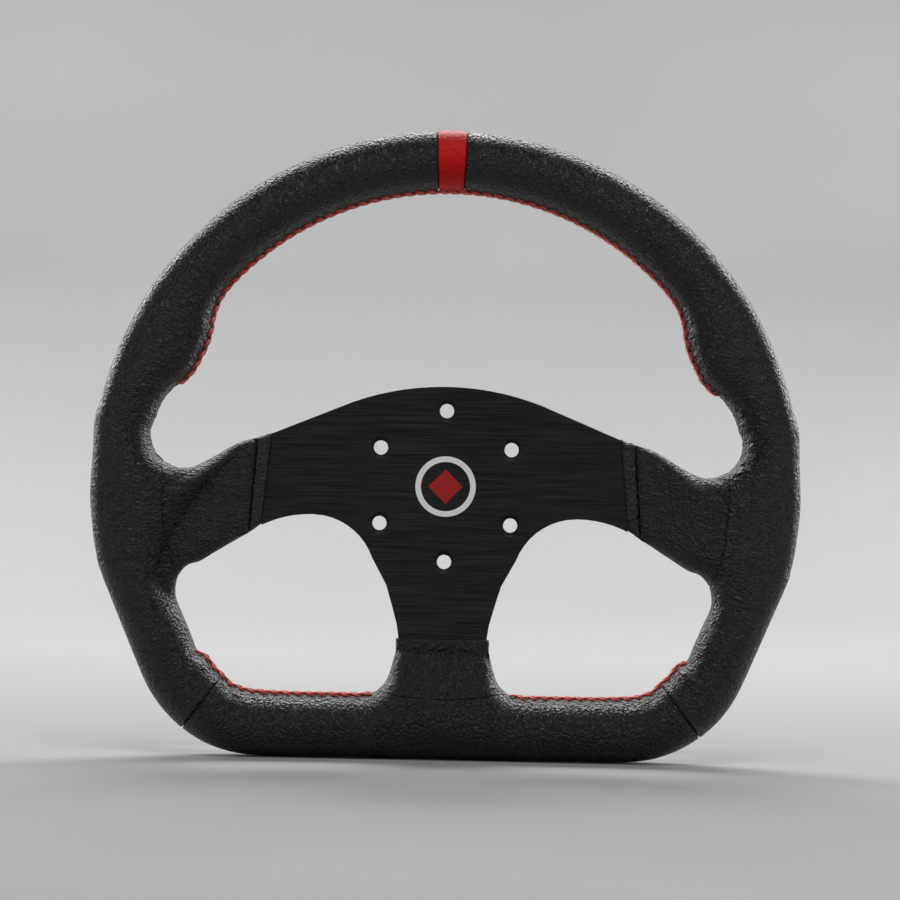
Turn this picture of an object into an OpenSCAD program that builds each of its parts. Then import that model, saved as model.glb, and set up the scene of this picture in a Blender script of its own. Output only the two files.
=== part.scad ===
// Flat-bottomed three-spoke racing steering wheel: a countersunk aluminium spoke plate riveted to a
// bent rod rim, foam moulded over both, and a stitched leather cover.
// +Z is up, the driver sits on the -Y side, and +X is the driver's right.
// The origin is the middle of the bolt circle, on the plate's rear mounting face.

/* [Rim] */
// Outer diameter of the round part of the rim
rim_d = 330; // [315:1:400]
// Distance from the axis down to the flat bottom
flat_drop = 126.3; // [122:0.1:155]
// Radius of the two lower corners, at the outside
corner_r = 60; // [50:1:64]
// How far the straight flanks of the rim lean inwards towards the bottom, degrees
flank_lean = 23; // [20:1:26]
// How much closer to the axis the flanks pass than the round part of the rim
flank_cut = 1.8; // [0.5:0.1:3]
// Width of the grip seen from the front, on the round part
grip_w = 28; // [25:0.5:34]
// Front-to-back depth of the grip
grip_depth = 31; // [26:0.5:38]
// Extra grip width at the thumb rests
thumb_swell = 8; // [4:0.5:10]
// Radius of the notches between thumb rests and side spokes
notch_r = 15.7; // [13:0.1:17]
// Thickness of the leather cover
leather_t = 1.2; // [0.9:0.1:1.6]
// Width of the coloured band at twelve o'clock, at the outside of the rim
band_w = 13.8; // [8:0.2:20]

/* [Spoke plate] */
// Thickness of the spoke plate
plate_t = 5; // [4:0.5:6]
// Height of the plate's crown above the axis
crown_z = 46.2; // [44:0.1:50]
// Radius of the plate's crown
crown_r = 125; // [115:1:140]
// Half width of the plate where the side collars start, at the top edge
plate_reach = 80.6; // [78:0.1:84]
// Half width of the bottom spoke at its collar
foot_half = 20.4; // [18:0.1:21]
// Width of the side collars
collar_w = 7; // [5:0.1:8]
// Wall of the leather collars
collar_t = 1.2; // [1:0.1:1.6]

/* [Hub fixing] */
// Diameter of the bolt circle
bolt_circle = 70; // [66:0.5:84]
// Number of bolts
bolt_count = 6; // [3:1:8]
// Diameter of the bolt holes
hole_d = 6.6; // [5.3:0.1:7]
// Outer diameter of the countersinks
sink_d = 10.4; // [9:0.1:12.4]

/* [Rim frame] */
// Diameter of the steel rod inside the rim
rod_d = 10; // [8:0.5:12]
// Distance from the outside of the rim to the middle of the rod
rod_inset = 15; // [13:0.5:17]
// Thickness of the riveted tabs
tab_t = 3; // [2:0.5:4]
// Diameter of the rivets
rivet_d = 4.8; // [4:0.1:6]

/* [Hidden] */
$fn = 48;

// ---- Small helpers: points in the wheel's plane are [x, z]

function heading(a) = [cos(a), sin(a)];
function polar(r, a) = r * heading(a);
function length(v) = norm(v);
function unit(v) = v / norm(v);
function flipped(p) = [-p.x, p.y];
function flipped_all(list) = [for (i = [len(list) - 1:-1:0]) flipped(list[i])];
function arc(centre, r, from, to, steps) =
    [for (i = [0:steps]) centre + polar(r, from + (to - from) * i / steps)];

// Lays a flat outline in the wheel's plane, from y = back forwards by depth.
module slab(depth, back = 0)
    translate([0, back, 0])
        rotate([90, 0, 0])
            linear_extrude(depth)
                children();

// A round pin along Y, from y = front to y = back.
module pin(p, d, front, back)
    translate([p.x, back, p.y])
        rotate([90, 0, 0])
            cylinder(d = d, h = back - front);

// ---- Rim outline

rim_r = rim_d / 2;
mid_y = -plate_t / 2;
flank_n = heading(-flank_lean);
flank_t = heading(-flank_lean - 90);
flank_r = rim_r - flank_cut;
corner_z = corner_r - flat_drop;
corner_x = (flank_r - corner_r + corner_z * sin(flank_lean)) / cos(flank_lean);
corner_c = [corner_x, corner_z];
flank_end = corner_c * flank_t;

// A station is [outer point, inner point, half thickness at the inner point].
edge_half = grip_depth / 2 * cos(84);
mouth_half = plate_t / 2 + 2.6;
function on_arc(a, w) = [polar(rim_r, a), polar(rim_r - w, a), edge_half];
function on_flank(t, w) =
    [flank_r * flank_n + t * flank_t, (flank_r - w) * flank_n + t * flank_t, edge_half];
function on_corner(a, w) =
    [corner_c + polar(corner_r, a), corner_c + polar(corner_r - w, a), edge_half];
function on_flat(x, p, half) = [[x, -flat_drop], p, half];

// Where the padded spoke roots end against the collars
collar_top = [plate_reach, 23.1];
collar_low = [plate_reach + 4.3, -18.5];
mouth_top = collar_top + [collar_w, -2.3];
mouth_low = collar_low + [collar_w - 1.2, -4.4];
foot_z = -70.7;
foot_collar_w = 5.6;
foot_mouth_z = foot_z - foot_collar_w;
foot_mouth_half = foot_half + 1;

// The notch under each thumb rest, and the rounded outer corner of each lower opening
notch_c = [rim_r - grip_w - notch_r + 0.3, 22];
gusset_r = 12.2;
gusset_c = [rim_r - 53, -49];
foot_fillet_r = 13.5;
foot_fillet_c = [foot_mouth_half + 16.2, grip_w + foot_fillet_r + 0.8 - flat_drop];

band_half = asin(band_w / 2 / rim_r);

// The stations run clockwise from the band to the middle of the flat bottom.
arc_part = [for (a = [90 - band_half, 86, 81, 75, 69, 63, 57, 51, 46, 42]) on_arc(a, grip_w)];
thumb_part = [
    on_arc(38, grip_w + 0.15 * thumb_swell),
    on_arc(34.5, grip_w + 0.45 * thumb_swell),
    on_arc(30.5, grip_w + 0.9 * thumb_swell),
    on_arc(26.5, grip_w + thumb_swell),
    on_arc(22.5, grip_w + 0.8 * thumb_swell),
    on_arc(19, grip_w + 0.35 * thumb_swell),
    on_arc(15.5, grip_w - 0.5),
    on_arc(12, grip_w - 1.2)];
notch_part = [for (row = [[9.5, 3], [7.2, -25], [5.2, -50], [2.4, -78], [-1.4, -98], [-4.6, -109],
        [-8.2, -120]])
    [polar(rim_r, row[0]), notch_c + polar(notch_r, row[1]), edge_half]];
root_top = notch_c + polar(notch_r, -120);
upper_edge_part = [for (f = [0.3, 0.65, 1])
    [polar(rim_r, -8.2 - 2.2 * f), root_top + f * (mouth_top - root_top),
        edge_half + f * (mouth_half - edge_half)]];
mouth_part = [for (f = [0.35, 0.7, 1])
    [polar(rim_r, -10.4 - 1.8 * f), mouth_top + f * (mouth_low - mouth_top), mouth_half]];
gusset_top = gusset_c + polar(gusset_r, 84);
lower_edge_part = [for (f = [0.35, 0.7, 1])
    [polar(rim_r, -12.2 - 1.6 * f), mouth_low + f * (gusset_top - mouth_low),
        mouth_half + f * (edge_half - mouth_half)]];
gusset_part = [for (row = [[-18, 58], [-12, 34], [-6, 10]])
    [flank_r * flank_n + row[0] * flank_t, gusset_c + polar(gusset_r, row[1]), edge_half]];
flank_part = [for (t = [1, 10, 19, flank_end]) on_flank(t, grip_w)];
corner_upper = [for (a = [-31, -39, -47, -54]) on_corner(a, grip_w + 2.5)];
corner_lower = [for (a = [-62, -71, -80, -90]) on_corner(a, grip_w + 1.5)];
flat_part = [for (x = [70, 56, foot_fillet_c.x])
    if (x < corner_x - 3) on_flat(x, [x, grip_w + 0.8 - flat_drop], edge_half)];
fillet_part = [for (row = [[0.88, -112], [0.78, -135], [0.72, -158]])
    on_flat(foot_fillet_c.x * row[0], foot_fillet_c + polar(foot_fillet_r, row[1]), edge_half)];
foot_edge_part = [on_flat(foot_mouth_half, [foot_mouth_half, foot_mouth_z], mouth_half)];
foot_mouth_part = [for (f = [0.66, 0.33, 0])
    on_flat(foot_mouth_half * f, [foot_mouth_half * f, foot_mouth_z], mouth_half)];

parts_in_order = [arc_part, thumb_part, notch_part, upper_edge_part, mouth_part, lower_edge_part,
    gusset_part, flank_part, corner_upper, corner_lower, flat_part, fillet_part, foot_edge_part,
    foot_mouth_part];
function counted(list, n) = n == 0 ? 0 : len(list[n - 1]) + counted(list, n - 1);
spoke_starts = counted(parts_in_order, 3);
mouth_starts = counted(parts_in_order, 4);
mouth_ends = counted(parts_in_order, 5);
spoke_ends = counted(parts_in_order, 6) + 1;
bottom_starts = counted(parts_in_order, 9);
foot_starts = counted(parts_in_order, 11) + 1;
foot_mouth_starts = counted(parts_in_order, 13);
thumb_ends = counted(parts_in_order, 2) - 2;
low_stitch_starts = counted(parts_in_order, 8);
low_stitch_ends = counted(parts_in_order, 11) + 1;

right_side = [for (part = parts_in_order) each part];
half_n = len(right_side);
top_station = on_arc(90, grip_w);
stations = concat([top_station], right_side,
    [for (i = [half_n - 2:-1:0])
        [flipped(right_side[i][0]), flipped(right_side[i][1]), right_side[i][2]]]);
station_n = len(stations);

// ---- Padded section: side_n facets from the inner edge to the outer edge, on each face

side_n = 8;
crest = side_n / 2;
seam = 3;
ring_n = 2 * side_n + 2;
end_angle = 84;
// How the points are spread from the crest to the inner edge of a wide spoke root
root_spread = [0, 0.3, 0.55, 0.8, 1];
function narrow_spread(step) = sin(step * end_angle / crest) / sin(end_angle);
function wide(w) = min(1, max(0, (w - 38) / 34));

// How far in from the inner edge the padded side lies, square to that edge
function inner_normal(i) =
    let (a = stations[(i + station_n - 1) % station_n][1],
        b = stations[(i + 1) % station_n][1],
        d = unit(b - a))
    [-d.y, d.x];

// Point k of station i, skin mm under the surface: [place in the wheel's plane, half thickness]
function side_point(i, k, skin) =
    let (s = stations[i],
        outer = s[0] + skin * unit(s[1] - s[0]),
        inner = s[1] + skin * inner_normal(i),
        w = length(outer - inner),
        along = unit(inner - outer),
        out_w = min(w / 2, grip_w / 2 + 3),
        half = grip_depth / 2 - skin,
        tip = s[2] - skin * (s[2] > edge_half + 1 ? 1 : half / grip_depth),
        step = crest - k,
        mix = wide(length(s[0] - s[1])),
        f = (1 - mix) * narrow_spread(abs(step)) + mix * root_spread[abs(step)],
        round_off = cos(step * end_angle / crest),
        slope = (1 + cos(180 * f)) / 2,
        end_off = cos(end_angle))
    k >= crest
        ? [outer + out_w * (1 - narrow_spread(k - crest)) * along, half * round_off]
        : [outer + (out_w + (w - out_w) * f) * along,
            tip + (half - tip) * ((1 - mix) * (round_off - end_off) / (1 - end_off) + mix * slope)];

function ring(i, skin) =
    let (side = [for (k = [0:side_n]) side_point(i, k, skin)])
    concat(
        [for (p = side) [p[0].x, mid_y - p[1], p[0].y]],
        [for (k = [side_n:-1:0]) [side[k][0].x, mid_y + side[k][1], side[k][0].y]]);

cover_points = [for (i = [0:station_n - 1]) each ring(i, 0)];
lining_points = [for (i = [0:station_n - 1]) each ring(i, leather_t)];
thread_points = [for (i = [0:station_n - 1]) each ring(i, -0.7)];

function at(i, j) = (i % station_n) * ring_n + j % ring_n;
function quad(a, b, c, d) = [[a, b, c], [a, c, d]];
function cell(i, j, base) =
    quad(base + at(i, j), base + at(i + 1, j), base + at(i + 1, j + 1), base + at(i, j + 1));
function turned(faces) = [for (f = faces) [f[2], f[1], f[0]]];

// ---- Which piece covers cell [i, j]: i counts stations clockwise, j counts facets round the ring

NO_PIECE = 0;
BAND = 1;
GRIP = 2;
SPOKE = 3;
BOTTOM = 4;
FOOT = 5;
LEFT = 10;
function mirrored_cell(i) = min(i, station_n - 1 - i);
function is_left(i) = i >= half_n;
function inboard(j) = j < seam || j > 2 * side_n - seam;
function is_edge(j) = j == ring_n - 1;
function piece_at(i, j) =
    let (m = mirrored_cell(i), left = is_left(i) ? LEFT : 0)
    m < 1 ? BAND :
    m >= foot_mouth_starts && is_edge(j) ? NO_PIECE :
    m >= foot_starts && inboard(j) ? FOOT :
    m >= bottom_starts ? BOTTOM :
    m >= mouth_starts && m < mouth_ends && is_edge(j) ? NO_PIECE :
    m >= spoke_starts && m < spoke_ends && inboard(j) ? SPOKE + left :
    GRIP + left;

// A sheet between two nested sets of ring points, over the cells that belong to it
module sheet(outside, inside, belongs) {
    points = concat(outside, inside);
    base = len(outside);
    faces = [for (i = [0:station_n - 1], j = [0:ring_n - 1])
        if (belongs(i, j))
            each concat(
                cell(i, j, 0),
                turned(cell(i, j, base)),
                belongs(i, (j + ring_n - 1) % ring_n) ? [] :
                    quad(at(i + 1, j), at(i, j), base + at(i, j), base + at(i + 1, j)),
                belongs(i, (j + 1) % ring_n) ? [] :
                    quad(at(i, j + 1), at(i + 1, j + 1), base + at(i + 1, j + 1), base + at(i, j + 1)),
                belongs((i + station_n - 1) % station_n, j) ? [] :
                    quad(at(i, j), at(i, j + 1), base + at(i, j + 1), base + at(i, j)),
                belongs((i + 1) % station_n, j) ? [] :
                    quad(at(i + 1, j + 1), at(i + 1, j), base + at(i + 1, j), base + at(i + 1, j + 1)))];
    polyhedron(points, faces);
}

module leather(piece)
    sheet(cover_points, lining_points, function(i, j) piece_at(i, j) == piece);

module stitches(first, last, side)
    sheet(thread_points, cover_points,
        function(i, j) is_edge(j) && mirrored_cell(i) >= first && mirrored_cell(i) < last
            && (side == 0 || is_left(i) == (side < 0)));

// ---- Spoke plate

opening_c = [61.5, -44];
opening_r = 30;
opening_flare_r = 52.4;
flare_c = [opening_c.x, opening_c.y + opening_r - opening_flare_r];
crown_c = [0, crown_z - crown_r];
// Angle from the crown's middle to where the straight shoulder leaves it
crown_tangent = atan2(collar_top.x - crown_c.x, collar_top.y - crown_c.y)
    - acos(crown_r / length(collar_top - crown_c));

flare_end = 90 - asin((collar_low.x - opening_c.x) / opening_flare_r);

// Middle line of the rod: a bend over the top, straight flanks, two corner bends, a straight bottom
rod_r = rim_r - rod_inset;
rod_corner_r = rod_r - corner_c * flank_n;
rod_low_z = corner_z - rod_corner_r;

// The arms run on inside the padded spoke roots, and stop short of the rod.
arm_end = rod_r - rod_d / 2 - 3;
foot_arm_end = rod_low_z + rod_d / 2 + 2.5;
side_arm = [[rim_r - 58, 3], [arm_end, -1], [arm_end, -23]];
foot_arm_half = 12;

plate_half = concat(
    arc(crown_c, crown_r, 90, 90 - crown_tangent, 12),
    [collar_top, mouth_top + [0, -1.6]],
    side_arm,
    [mouth_low + [0, 1.6], collar_low],
    arc(flare_c, opening_flare_r, flare_end, 90, 6),
    arc(opening_c, opening_r, 100, 160, 8),
    [[26.6, -46], [23.6, -56], [21.4, -64], [foot_half, foot_z], [foot_half - 0.6, foot_mouth_z],
        [foot_arm_half, foot_mouth_z], [foot_arm_half, foot_arm_end]]);

module plate_outline()
    polygon(concat(plate_half, flipped_all(plate_half)));

side_rivets = [[rim_r - 43, -10], [rim_r - 32, -12]];
foot_rivets = [[-6, foot_arm_end + 6], [6, foot_arm_end + 6]];

module bolt_holes()
    for (i = [0:bolt_count - 1])
        rotate([0, 90 - i * 360 / bolt_count, 0])
            translate([bolt_circle / 2, 0, 0])
                rotate([90, 0, 0]) {
                    translate([0, 0, -1])
                        cylinder(d = hole_d, h = plate_t + 2);
                    translate([0, 0, plate_t - (sink_d - hole_d) / 2])
                        cylinder(d1 = hole_d, d2 = sink_d + 0.02, h = (sink_d - hole_d) / 2 + 0.01);
                }

module spoke_plate()
    color("#1b1b1c")
        difference() {
            slab(plate_t) plate_outline();
            bolt_holes();
            for (side = [-1, 1], p = side_rivets)
                pin([side * p.x, p.y], rivet_d, -plate_t - 1, 1);
            for (p = foot_rivets)
                pin(p, rivet_d, -plate_t - 1, 1);
        }

// ---- Rim rod: one round bar bent to follow the middle of the rim

rod_sides = 12;
function bend_stops(centre, r, from, to, steps) =
    [for (a = [from:(to - from) / steps:to + 0.01 * sign(to - from)]) [centre + polar(r, a), heading(a)]];
rod_right = concat(
    bend_stops([0, 0], rod_r, 90, -flank_lean, 14),
    bend_stops(corner_c, rod_corner_r, -flank_lean, -90, 8));
rod_stops = concat(rod_right,
    [for (i = [len(rod_right) - 1:-1:1]) [flipped(rod_right[i][0]), flipped(rod_right[i][1])]]);

module rod_loop() {
    n = len(rod_stops);
    points = [for (stop = rod_stops, k = [0:rod_sides - 1])
        let (turn = polar(rod_d / 2, k * 360 / rod_sides), p = stop[0] + turn.x * stop[1])
        [p.x, mid_y + turn.y, p.y]];
    faces = [for (i = [0:n - 1], k = [0:rod_sides - 1])
        let (j = (i + 1) % n, l = (k + 1) % rod_sides)
        each quad(i * rod_sides + k, i * rod_sides + l, j * rod_sides + l, j * rod_sides + k)];
    polyhedron(points, faces);
}

module rim_rod()
    color("#8d8f92")
        rod_loop();

// ---- Tabs welded to the rod, and the rivets that hold the plate's arms to them

side_tab = [[rim_r - 50, -2], [rod_r - 1, -3], [rod_r - 1, -19], [rim_r - 50, -18]];

module side_tab_plate()
    color("#7c7e80")
        difference() {
            slab(tab_t, tab_t) polygon(side_tab);
            rod_loop();
            for (p = side_rivets)
                pin(p, rivet_d, -1, tab_t + 1);
        }

module right_tab() side_tab_plate();
module left_tab() mirror([1, 0, 0]) side_tab_plate();

module bottom_tab()
    color("#7c7e80")
        difference() {
            slab(tab_t, tab_t)
                translate([-foot_arm_half, rod_low_z + 1])
                    square([2 * foot_arm_half, foot_arm_end - rod_low_z + 12]);
            rod_loop();
            for (p = foot_rivets)
                pin(p, rivet_d, -1, tab_t + 1);
        }

module rivet(p) {
    head_d = 1.8 * rivet_d;
    head_h = 0.45 * rivet_d;
    pin(p, rivet_d, -plate_t, tab_t);
    pin(p, head_d, -plate_t - head_h, -plate_t);
    pin(p, head_d, tab_t, tab_t + head_h);
}

module right_rivets()
    color("#a6a8aa")
        for (p = side_rivets)
            rivet(p);

module left_rivets() mirror([1, 0, 0]) right_rivets();

module bottom_rivets()
    color("#a6a8aa")
        for (p = foot_rivets)
            rivet(p);

// ---- Foam moulded over the frame

module grip_foam()
    color("#3a3a3c")
        difference() {
            polyhedron(lining_points,
                [for (i = [0:station_n - 1], j = [0:ring_n - 1]) each cell(i, j, 0)]);
            rod_loop();
            slab(plate_t) plate_outline();
            for (side = [0, 1])
                mirror([side, 0, 0]) {
                    slab(tab_t, tab_t) polygon(side_tab);
                    right_rivets();
                }
            slab(tab_t, tab_t)
                translate([-foot_arm_half, rod_low_z + 1])
                    square([2 * foot_arm_half, foot_arm_end - rod_low_z + 12]);
            bottom_rivets();
        }

// ---- Leather cover

module right_grip_leather() color("#151515") leather(GRIP);
module left_grip_leather() color("#151515") leather(GRIP + LEFT);
module bottom_grip_leather() color("#151515") leather(BOTTOM);
module right_spoke_leather() color("#191919") leather(SPOKE);
module left_spoke_leather() color("#191919") leather(SPOKE + LEFT);
module bottom_spoke_leather() color("#191919") leather(FOOT);
module centre_band() color("#e8261b") leather(BAND);

// The collars are short leather sleeves over the plate, next to the padded roots.
module right_collar()
    color("#101010")
        difference() {
            slab(plate_t + 2 * collar_t, collar_t)
                polygon([collar_top + [0, collar_t], mouth_top, mouth_low, collar_low - [0, collar_t]]);
            slab(plate_t) plate_outline();
        }

module left_collar() mirror([1, 0, 0]) right_collar();

module bottom_collar()
    color("#101010")
        difference() {
            slab(plate_t + 2 * collar_t, collar_t)
                translate([-foot_half - collar_t, foot_mouth_z])
                    square([2 * (foot_half + collar_t), foot_collar_w]);
            slab(plate_t) plate_outline();
        }

// ---- Stitching along the inner edge, drawn as a flat laced strip

module upper_stitching() color("#d5281f") stitches(0, thumb_ends, 0);
module lower_right_stitching() color("#d5281f") stitches(low_stitch_starts, low_stitch_ends, 1);
module lower_left_stitching() color("#d5281f") stitches(low_stitch_starts, low_stitch_ends, -1);

// ---- Plain printed mark in the middle of the plate: a ring round a lozenge

print_t = 0.1;
mark_r = 14;

module print() slab(print_t, -plate_t) children();

module mark_ring()
    color("#f2f2f0")
        print()
            difference() {
                circle(r = mark_r);
                circle(r = mark_r - 2.6);
            }

module mark_centre()
    color("#a81c1c")
        print()
            circle(r = 8, $fn = 4);

spoke_plate();
rim_rod();
left_tab();
right_tab();
bottom_tab();
left_rivets();
right_rivets();
bottom_rivets();
grip_foam();
left_grip_leather();
right_grip_leather();
bottom_grip_leather();
left_spoke_leather();
right_spoke_leather();
bottom_spoke_leather();
left_collar();
right_collar();
bottom_collar();
centre_band();
upper_stitching();
lower_left_stitching();
lower_right_stitching();
mark_ring();
mark_centre();
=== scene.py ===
import math

import bmesh
import bpy
import numpy as np
from mathutils import Matrix, Vector


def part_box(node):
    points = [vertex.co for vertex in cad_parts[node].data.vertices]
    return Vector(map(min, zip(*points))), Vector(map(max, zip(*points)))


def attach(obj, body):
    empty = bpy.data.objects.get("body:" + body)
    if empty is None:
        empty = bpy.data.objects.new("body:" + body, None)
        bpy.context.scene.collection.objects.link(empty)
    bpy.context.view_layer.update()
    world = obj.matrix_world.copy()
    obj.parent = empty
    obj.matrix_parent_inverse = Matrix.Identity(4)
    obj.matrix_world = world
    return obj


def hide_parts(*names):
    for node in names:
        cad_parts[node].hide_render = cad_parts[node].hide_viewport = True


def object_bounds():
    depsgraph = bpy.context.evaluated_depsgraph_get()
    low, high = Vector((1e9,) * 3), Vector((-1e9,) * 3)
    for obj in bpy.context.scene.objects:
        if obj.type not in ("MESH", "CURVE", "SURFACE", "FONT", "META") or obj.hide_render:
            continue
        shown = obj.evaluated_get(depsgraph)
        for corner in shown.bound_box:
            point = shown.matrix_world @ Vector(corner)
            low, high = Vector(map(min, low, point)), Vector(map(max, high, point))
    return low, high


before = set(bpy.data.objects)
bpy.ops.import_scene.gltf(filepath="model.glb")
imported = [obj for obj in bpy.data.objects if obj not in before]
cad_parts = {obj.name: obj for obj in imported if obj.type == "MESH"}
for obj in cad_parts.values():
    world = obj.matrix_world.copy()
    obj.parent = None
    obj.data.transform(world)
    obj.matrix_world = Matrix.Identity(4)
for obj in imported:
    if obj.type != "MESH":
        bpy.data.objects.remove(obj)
CAD_LOW, CAD_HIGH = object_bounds()

# ---- Sizes. Shapes are worked out in millimetres in the wheel's plane, (x, z), and y is depth.

MM = 0.001
plate_low, plate_high = (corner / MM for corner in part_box("spoke_plate"))
collar_low, collar_high = (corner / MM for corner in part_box("right_collar"))
foot_low, foot_high = (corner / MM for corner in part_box("bottom_collar"))
band_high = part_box("centre_band")[1] / MM

RIM_R = CAD_HIGH.x / MM
FLAT_DROP = -CAD_LOW.z / MM
HALF_DEPTH = (CAD_HIGH.y - CAD_LOW.y) / MM / 2
MID_Y = (plate_low.y + plate_high.y) / 2
PLATE_T = plate_high.y - plate_low.y
BAND_HALF_DEG = math.degrees(math.asin(band_high.x / RIM_R))

# The grip's width, what the thumb swells add to it, and the radius of the lower corners
GRIP_W = 28.0
THUMB_SWELL = 8.3
CORNER_R = 60.0
# The straight flanks above the lower corners: degrees of lean, and distance from the middle
FLANK_LEAN = 23.0
FLANK_R = RIM_R - 1.8
NOTCH_R = 15.7
SKIN_T = 1.1
# How far in from the outside of the rim the creases beside the root seams lie
SEAM_IN = 32.8
# How far in from the outside the padding is thickest
CREST_IN = 17.0
# How far past the crest the padding takes to come down to a spoke's thickness
LONG_FADE = 63.0
FOOT_FADE = 38.0
# Half thickness of the padded roots at the collars, and what the wing has more beside the crest
MOUTH_HALF = PLATE_T / 2 + 2.6
WING_EXTRA = 1.3
# The lip that dips under each collar
LIP_DROP = 0.9
LIP_W = 1.8
# Rounding of the inner edge on the thin wing, and what full padding adds to it
EDGE_ROUND = 8
EDGE_ROUND_MORE = 6.5

MOUTH_TOP = np.array([collar_low.x + 7.0, collar_high.z - 3.5])
MOUTH_LOW = np.array([collar_high.x + 0.1, collar_low.z])
FOOT_Z = foot_low.z
FOOT_HALF = foot_high.x - 0.2


def heading(degrees):
    a = np.radians(degrees)
    return np.array([np.cos(a), np.sin(a)])


# Directions across and along the right flank, then the centre of its corner and where it ends
FLANK_N = heading(-FLANK_LEAN)
FLANK_T = heading(-FLANK_LEAN - 90)
CORNER_Z = CORNER_R - FLAT_DROP
CORNER_X = (FLANK_R - CORNER_R + CORNER_Z * math.sin(math.radians(FLANK_LEAN))) / FLANK_N[0]
CORNER = np.array([CORNER_X, CORNER_Z])
FLANK_END = float(CORNER @ FLANK_T)
# Centres and radii of the hollows in the inner edge: above a side spoke, below it, and by the foot
NOTCH = np.array([RIM_R - GRIP_W - NOTCH_R + 0.3, 22.0])
GUSSET = np.array([RIM_R - 53.0, -49.0])
GUSSET_R = 12.2
FILLET_R = 13.5
FILLET = np.array([FOOT_HALF + 16.2, GRIP_W + FILLET_R + 0.8 - FLAT_DROP])


# ---- Stations: where each slice through the padded rim starts and ends

def on_arc(a, width):
    return [*(RIM_R * heading(a)), *((RIM_R - width) * heading(a)), 0.0]


def on_flank(t, width):
    return [*(FLANK_R * FLANK_N + t * FLANK_T), *((FLANK_R - width) * FLANK_N + t * FLANK_T), 0.0]


def on_corner(a, width):
    return [*(CORNER + CORNER_R * heading(a)), *(CORNER + (CORNER_R - width) * heading(a)), 0.0]


def across(outer, inner, tip=0.0):
    return [*outer, *inner, tip]


def right_stations():
    """Rows of outer point, inner point and half thickness at the inner point, from twelve to six."""
    rows = [on_arc(a, GRIP_W) for a in (90, 84, 78, 72, 66, 60, 54, 48, 43)]
    thumb = [(39, 0.08), (35.5, 0.36), (32.5, 0.74), (29.5, 0.96), (26.5, 1.0), (23.5, 0.96),
             (21, 0.7), (19, 0.36), (17, 0.1), (14.5, -0.08), (12, -0.16)]
    rows += [on_arc(a, GRIP_W + share * THUMB_SWELL) for a, share in thumb]
    for a, round_notch in ((9.5, 3), (7.2, -25), (5.2, -50), (2.4, -78), (-1.4, -98), (-4.6, -109),
                            (-8.2, -120)):
        rows.append(across(RIM_R * heading(a), NOTCH + NOTCH_R * heading(round_notch)))
    root_top = NOTCH + NOTCH_R * heading(-120)
    for f in (0.2, 0.4, 0.6, 0.8, 0.94, 1.0):
        bow = np.array([0, 1.6 * math.sin(math.pi * f ** 1.6)])
        inner = root_top + f * (MOUTH_TOP - root_top) + bow
        rows.append(across(RIM_R * heading(-8.2 - 2.2 * f), inner, f ** 8))
    for f in (0.06, 0.35, 0.65, 0.94, 1.0):
        inner = MOUTH_TOP + f * (MOUTH_LOW - MOUTH_TOP)
        rows.append(across(RIM_R * heading(-10.4 - 1.8 * f), inner, 1.0))
    gusset_top = GUSSET + GUSSET_R * heading(84)
    for f in (0.1, 0.38, 0.7, 1.0):
        inner = MOUTH_LOW + f * (gusset_top - MOUTH_LOW)
        rows.append(across(RIM_R * heading(-12.2 - 1.6 * f), inner, (1 - f) ** 6))
    for t, round_gusset in ((-18, 58), (-12, 34), (-6, 10)):
        rows.append(across(FLANK_R * FLANK_N + t * FLANK_T, GUSSET + GUSSET_R * heading(round_gusset)))
    rows += [on_flank(t, GRIP_W) for t in (1, 10, 19, FLANK_END)]
    rows += [on_corner(a, GRIP_W + 2.5) for a in (-31, -39, -47, -54)]
    rows += [on_corner(a, GRIP_W + 1.3) for a in (-62, -71, -80, -90)]
    flat_z = GRIP_W + 0.8 - FLAT_DROP
    rows += [across((x, -FLAT_DROP), (x, flat_z)) for x in (70, 56, 46, FILLET[0])]
    for f, round_fillet in ((0.88, -112), (0.78, -135), (0.72, -158)):
        rows.append(across((FILLET[0] * f, -FLAT_DROP), FILLET + FILLET_R * heading(round_fillet)))
    rows.append(across((FOOT_HALF * 1.04, -FLAT_DROP), (FOOT_HALF * 1.04, FOOT_Z - 3.0), 0.3))
    for f in (1.0, 0.94, 0.6, 0.3, 0.0):
        rows.append(across((FOOT_HALF * f, -FLAT_DROP), (FOOT_HALF * f, FOOT_Z), 1.0))
    return np.array(rows)


def catmull(rows, places):
    """A smooth curve through closed rows, read at fractional row numbers."""
    n = len(rows)
    i = np.floor(places).astype(int)
    t = (places - i)[:, None]
    p0, p1, p2, p3 = (rows[(i + k) % n] for k in (-1, 0, 1, 2))
    return 0.5 * (2 * p1 + (p2 - p0) * t + (2 * p0 - 5 * p1 + 4 * p2 - p3) * t ** 2
                  + (3 * p1 - p0 - 3 * p2 + p3) * t ** 3)


def smoothstep(x):
    x = np.clip(x, 0, 1)
    return x * x * (3 - 2 * x)


def noise(u, v, seed, octaves=1):
    """Smooth value noise from -1 to 1 over a lattice of unit cells."""
    table = np.random.default_rng(seed).random((256, 256)) * 2 - 1
    total = np.zeros(np.broadcast(u, v).shape)
    size = 1.0
    for octave in range(octaves):
        x, y = u / size + 17 * octave, v / size + 29 * octave
        i, j = np.floor(x).astype(int), np.floor(y).astype(int)
        fx, fy = smoothstep(x - i), smoothstep(y - j)
        a = table[i % 256, j % 256] * (1 - fx) + table[(i + 1) % 256, j % 256] * fx
        b = table[i % 256, (j + 1) % 256] * (1 - fx) + table[(i + 1) % 256, (j + 1) % 256] * fx
        total += (a * (1 - fy) + b * fy) * size
        size /= 2
    return total / (2 - 2 * size)


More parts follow.
